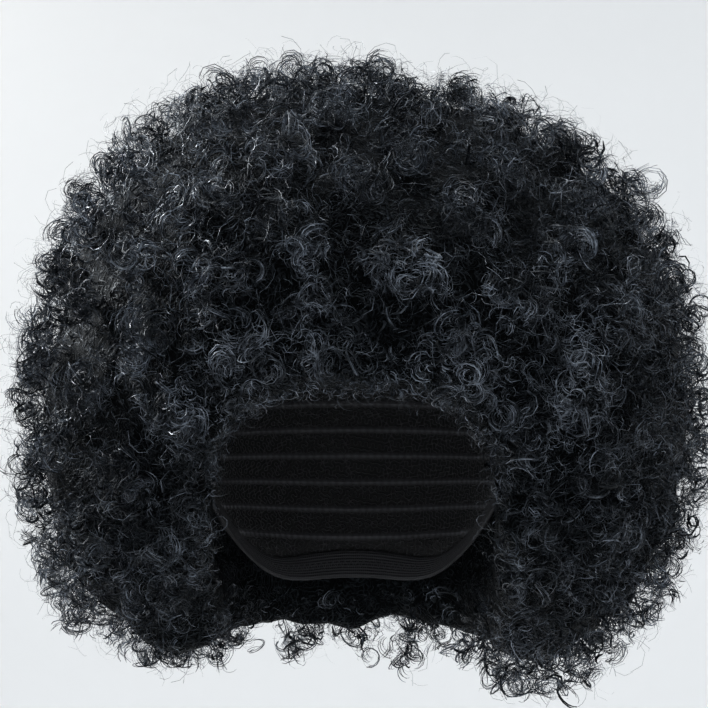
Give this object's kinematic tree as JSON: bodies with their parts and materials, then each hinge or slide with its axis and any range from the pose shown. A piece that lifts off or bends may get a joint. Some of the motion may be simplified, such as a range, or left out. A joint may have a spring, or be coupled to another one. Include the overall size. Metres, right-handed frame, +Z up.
{
  "type": "curly wig",
  "caption": "Short round wig of tightly curled black fibre on a stretch net cap with an elastic hem, worn over the head with the face left open.",
  "frame": {"origin": "the point inside the cap that rests on the wearer's crown", "axes": "+Z up out of the crown, the wearer faces -Y, and +X is the wearer's left"},
  "size_m": [0.3317, 0.3239, 0.3013],
  "materials": {
    "fibre": "near-black curled synthetic fibre with a soft cool sheen",
    "net": "matt black stretch net with rows of sewn wefts",
    "elastic": "matt black woven elastic, stitched along both edges"
  },
  "bodies": {
    "root": {"net_cap": "net", "hem_band": "elastic", "crown_weft": "fibre", "upper_weft": "fibre", "fringe_weft": "fibre", "middle_weft": "fibre", "lower_weft": "fibre", "nape_weft": "fibre"}
  },
  "joints": []
}
